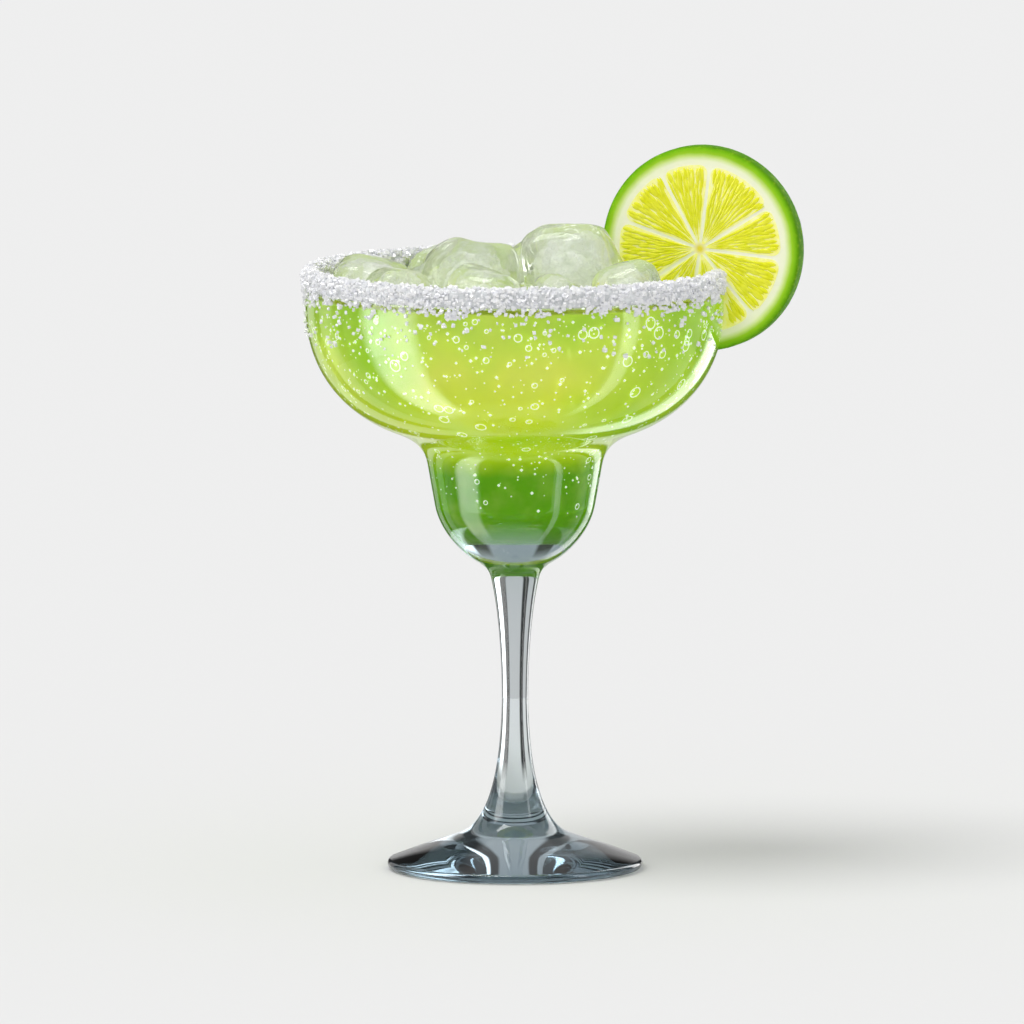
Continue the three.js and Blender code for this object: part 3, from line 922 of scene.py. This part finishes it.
def paintedBubbleShine():
    finish = Finish("bubble and foam shine")
    tint = finish.noise(finish.place(), bubble["tintSize"], 2.0)
    colour = finish.mix(tint, bubble["tinted"], white)
    # The bubbles and foam glow strongly in white: painted light
    finish.set(Base_Color=colour, Roughness=0.12, IOR=1.33,
               Emission_Color=colour, Emission_Strength=bubble["glow"])
    return finish.material


# A ring of four-sided section, set flat against the wall: the painted bright rim of a bubble
def addRing(points, faces, middle, outward, up, radius, band):
    beside = up.cross(outward)
    first, sides, swings = len(points), bubble["ringSides"], bubble["ringSwings"]
    for i in range(sides):
        a = tau * i / sides
        away = beside * cos(a) + up * sin(a)
        for swing in range(swings):
            b = tau * swing / swings
            offset = away * (radius + band * cos(b)) + outward * band * sin(b)
            points.append((middle + offset) * mm)
    for i in range(sides):
        a, b = first + swings * i, first + swings * ((i + 1) % sides)
        for swing in range(swings):
            after = (swing + 1) % swings
            faces.append((a + swing, b + swing, b + after, a + after))


# A speck with six corners
def addSpeck(points, faces, middle, size):
    first = len(points)
    for way in ((1, 0, 0), (0, 1, 0), (-1, 0, 0), (0, -1, 0), (0, 0, 1), (0, 0, -1)):
        points.append((middle + Vector(way) * size) * mm)
    for i in range(4):
        after = (i + 1) % 4
        faces.append((first + i, first + after, first + 4))
        faces.append((first + after, first + i, first + 5))


# A place on the wall at a height, with the ways out of the wall and up along it
def onWall(wall, level, draw):
    around = draw.uniform(0, tau)
    half = bubble["slopeHalf"]
    slope = radiusAt(wall, level + half) - radiusAt(wall, level - half)
    side = Vector((cos(around), sin(around), 0))
    outward = (side - Vector((0, 0, slope))).normalized()
    up = (Vector((0, 0, 1)) + side * slope).normalized()
    middle = side * radiusAt(wall, level) + Vector((0, 0, level)) + outward * bubble["proud"]
    return middle, outward, up


def makeBubbles():
    draw = random.Random(bubble["seed"])
    wall = bowlInside(glass["wall"], glass["cupFloorHeight"])
    low, high = bubble["low"], bubble["high"]
    smallest, largest = bubble["speckSmallest"], bubble["speckLargest"]
    points, faces = [], []
    for _ in range(bubble["specks"]):
        middle, _, _ = onWall(wall, between(low, high, draw.random() ** bubble["speckRise"]), draw)
        size = between(smallest, largest, draw.random() ** bubble["speckCrowd"])
        addSpeck(points, faces, middle, size)
    for _ in range(bubble["rings"]):
        middle, outward, up = onWall(wall, between(low, high, draw.random() ** bubble["ringRise"]), draw)
        grow = draw.random() ** bubble["ringCrowd"]
        radius = between(bubble["ringSmallest"], bubble["ringLargest"], grow)
        band = bubble["band"] + bubble["bandShare"] * radius
        addRing(points, faces, middle, outward, up, radius, band)
        # A white speck at the ring's upper side is its painted highlight
        paintedGlint = middle + (up - up.cross(outward)) * radius * bubble["paintedGlintAway"]
        addSpeck(points, faces, paintedGlint, bubble["paintedGlint"] + bubble["paintedGlintShare"] * radius)
    edge, level = radiusAt(wall, drink["level"]), drink["level"]
    for _ in range(bubble["foam"]):       # most of the foam floats along the edge
        inwards = (edge - bubble["foamMiddle"]) * draw.random() ** bubble["foamCrowd"]
        radius = edge - bubble["foamEdge"] - inwards
        around = draw.uniform(0, tau)
        size = smallest + largest * draw.random() ** bubble["speckCrowd"]
        addSpeck(points, faces, Vector((radius * cos(around), radius * sin(around), level)), size)
    piece = meshFromArrays("drink_bubbles", points, faces)
    closeSeams(piece)
    bpy.ops.object.shade_smooth()
    settle(piece, paintedBubbleShine(), "drink")


# Stage, in metres: pale floor, soft light, and a long lens
stage = {
    "floorSize": 40, "floorDrop": 0.0002, "floorColour": (0.735, 0.735, 0.735, 1),
    "backColour": (0.82, 0.82, 0.82, 1), "domeColour": (1, 1, 1, 1), "dome": 0.78,
    "keyFrom": (-0.5, -0.3, 1.25), "keyPower": 1.35, "keySpread": 34,
    "aim": (-0.0008, 0, 0.0959), "distance": 5.0, "elevation": 6.77, "lens": 657, "farthest": 100,
}


def addPlane(name, size, place):
    deselectAll()
    bpy.ops.mesh.primitive_plane_add(size=size, location=place)
    made = bpy.context.object
    made.name = name
    return made


def makeFloor():
    floor = addPlane("floor", stage["floorSize"], (0, 0, -stage["floorDrop"]))
    finish = Finish("pale floor")
    finish.set(Base_Color=stage["floorColour"], Roughness=0.9, Specular_IOR_Level=0.0)
    floor.data.materials.append(finish.material)


# The dome lights the scene, and a plain backdrop takes its place where it is looked at
def makeWorld():
    world = bpy.data.worlds.new("soft studio")
    world.use_nodes = True
    bpy.context.scene.world = world
    tree = world.node_tree
    dome = tree.nodes["Background"]
    dome.inputs["Color"].default_value = stage["domeColour"]
    dome.inputs["Strength"].default_value = stage["dome"]
    seen = tree.nodes.new("ShaderNodeBackground")
    seen.inputs["Color"].default_value = stage["backColour"]
    rays = tree.nodes.new("ShaderNodeLightPath")
    either = tree.nodes.new("ShaderNodeMixShader")
    tree.links.new(rays.outputs["Is Camera Ray"], either.inputs[0])
    tree.links.new(dome.outputs[0], either.inputs[1])
    tree.links.new(seen.outputs[0], either.inputs[2])
    tree.links.new(either.outputs[0], tree.nodes["World Output"].inputs["Surface"])


def makeKeyLight():
    lamp = bpy.data.lights.new("key light", "SUN")
    lamp.energy = stage["keyPower"]
    lamp.angle = radians(stage["keySpread"])
    light = addObject("key light", lamp)
    light.rotation_euler = (-Vector(stage["keyFrom"])).to_track_quat("-Z", "Y").to_euler()
    light.visible_glossy = False


# A drum of cards round the glass, in metres: its windows and dark strips show only in what is clear or shiny.
# A window has its turn and half its width in degrees, its top and its power
drum = {
    "radius": 0.34, "height": 0.60, "sides": 96, "pale": 0.66, "dark": 0.05,
    "front": 0.16, "frontHalf": 105, "frontSoft": 12,
    "strips": 11, "stripShift": 2.24, "stripSway": 1.4, "swayTurns": 3, "swayShift": 0.5,
    "stripReach": (0.2, 0.6), "stripTop": 0.30, "stripFade": 0.12,
    "windows": ((-70, 17, 0.42, 5.0), (62, 5, 0.40, 3.0), (140, 10, 0.42, 3.0)),
    "paneInner": 0.75, "paneOuter": 1.15, "paneFade": 0.08,
    "lowLift": 0.00005, "lowNear": 0.05, "lowFade": 0.04, "lowEdge": 0.002, "lowShare": 0.8,
    "topCard": 0.26, "topAcross": -0.156, "topAlong": -0.078, "topGlow": 9.0,
}


# How far round from the camera's side a place is, and its shares of a dark strip and of the front
def roundDrum(finish, across, along):
    around = across.maths("ARCTAN2", along * -1)
    sway = (around * drum["swayTurns"] + drum["swayShift"]).maths("SINE") * drum["stripSway"]
    wave = (around * drum["strips"] + sway + drum["stripShift"]).maths("SINE")
    half, soft = drum["frontHalf"], drum["frontSoft"]
    front = 1 - finish.fit(around.maths("ABSOLUTE"), radians(half - soft), radians(half + soft))
    strips = finish.fit(wave, *drum["stripReach"]) * (1 - front)
    return around, strips, front


def windowPane(finish, around, turn, half):
    beside = (around - radians(turn)).maths("COSINE").maths("ARCCOSINE")
    inner, outer = radians(half * drum["paneInner"]), radians(half * drum["paneOuter"])
    return 1 - finish.fit(beside, inner, outer)


# A card that only clear and shiny surfaces show: to a path that left a dull surface it isn't there
def hangCard(card, finish, glow, cover=1.0):
    dull = finish.node("ShaderNodeLightPath", output="Diffuse Depth").maths("GREATER_THAN", 0.5)
    shine = finish.node("ShaderNodeEmission", None, {"Color": (1, 1, 1, 1), "Strength": glow})
    gone = finish.node("ShaderNodeBsdfTransparent")
    either = finish.node("ShaderNodeMixShader", None, {0: (1 - dull) * cover, 1: gone, 2: shine})
    finish.feed(finish.output.inputs["Surface"], either)
    finish.material.cycles.emission_sampling = "NONE"
    card.data.materials.append(finish.material)
    card.visible_camera = False
    card.visible_diffuse = False
    card.visible_shadow = False


def makeDrum():
    deselectAll()
    bpy.ops.mesh.primitive_cylinder_add(
        vertices=drum["sides"], radius=drum["radius"], depth=drum["height"],
        end_fill_type="NOTHING", location=(0, 0, drum["height"] / 2))
    card = bpy.context.object
    card.name = "reflection_drum"
    bpy.ops.object.transform_apply(location=True)
    finish = Finish("reflection drum")
    across, along, height = finish.split(finish.place())
    around, strips, front = roundDrum(finish, across, along)
    stripTop = drum["stripTop"]
    strips = strips * (1 - finish.fit(height, stripTop, stripTop + drum["stripFade"]))
    glow = drum["pale"] - strips * (drum["pale"] - drum["dark"])
    glow = glow - front * (drum["pale"] - drum["front"])
    for turn, half, high, power in drum["windows"]:
        pane = windowPane(finish, around, turn, half)
        glow = glow + pane * (1 - finish.fit(height, high - drum["paneFade"], high)) * power
    hangCard(card, finish, glow)


# A low card that carries the strips and windows on over the floor to the foot
def makeLowCard():
    near, far = drum["lowNear"], drum["radius"]
    card = addPlane("low_card", 2 * far, (0, 0, drum["lowLift"]))
    bpy.ops.object.transform_apply(location=True)
    finish = Finish("low card")
    across, along, _ = finish.split(finish.place())
    radius = (across * across + along * along) ** 0.5
    around, strips, front = roundDrum(finish, across, along)
    inside = finish.fit(radius, near, near + drum["lowFade"])
    inside = inside * (1 - finish.fit(radius, far - drum["lowEdge"], far))
    glow = drum["dark"] + front * (drum["front"] - drum["dark"])
    cover = strips.maths("MAXIMUM", front)
    for turn, half, _, power in drum["windows"]:
        pane = windowPane(finish, around, turn, half)
        glow = glow + pane * power * drum["lowShare"]
        cover = cover.maths("MAXIMUM", pane)
    hangCard(card, finish, glow, cover * inside)


def makeTopCard():
    place = (drum["topAcross"], drum["topAlong"], drum["height"])
    card = addPlane("top_card", drum["topCard"], place)
    hangCard(card, Finish("top card"), drum["topGlow"])


def makeCamera():
    lens = bpy.data.cameras.new("long lens")
    lens.lens = stage["lens"]
    lens.clip_end = stage["farthest"]
    camera = addObject("long lens", lens)
    up = radians(stage["elevation"])
    back = Vector((0, -cos(up), sin(up)))
    camera.location = Vector(stage["aim"]) + back * stage["distance"]
    camera.rotation_euler = (-back).to_track_quat("-Z", "Y").to_euler()
    bpy.context.scene.camera = camera


makeGlass()
makeDrink()
makeIce()
makeSaltCrust()
makeSaltCrystals()
rimSlot = rimCutter()
makeLimePeel(rimSlot)
makeLimeSegments(rimSlot)
bpy.data.objects.remove(rimSlot)
makeJuiceSacs()
makeBubbles()

makeFloor()
makeWorld()
makeDrum()
makeLowCard()
makeTopCard()
makeKeyLight()
makeCamera()
bpy.context.scene.view_settings.view_transform = "Standard"
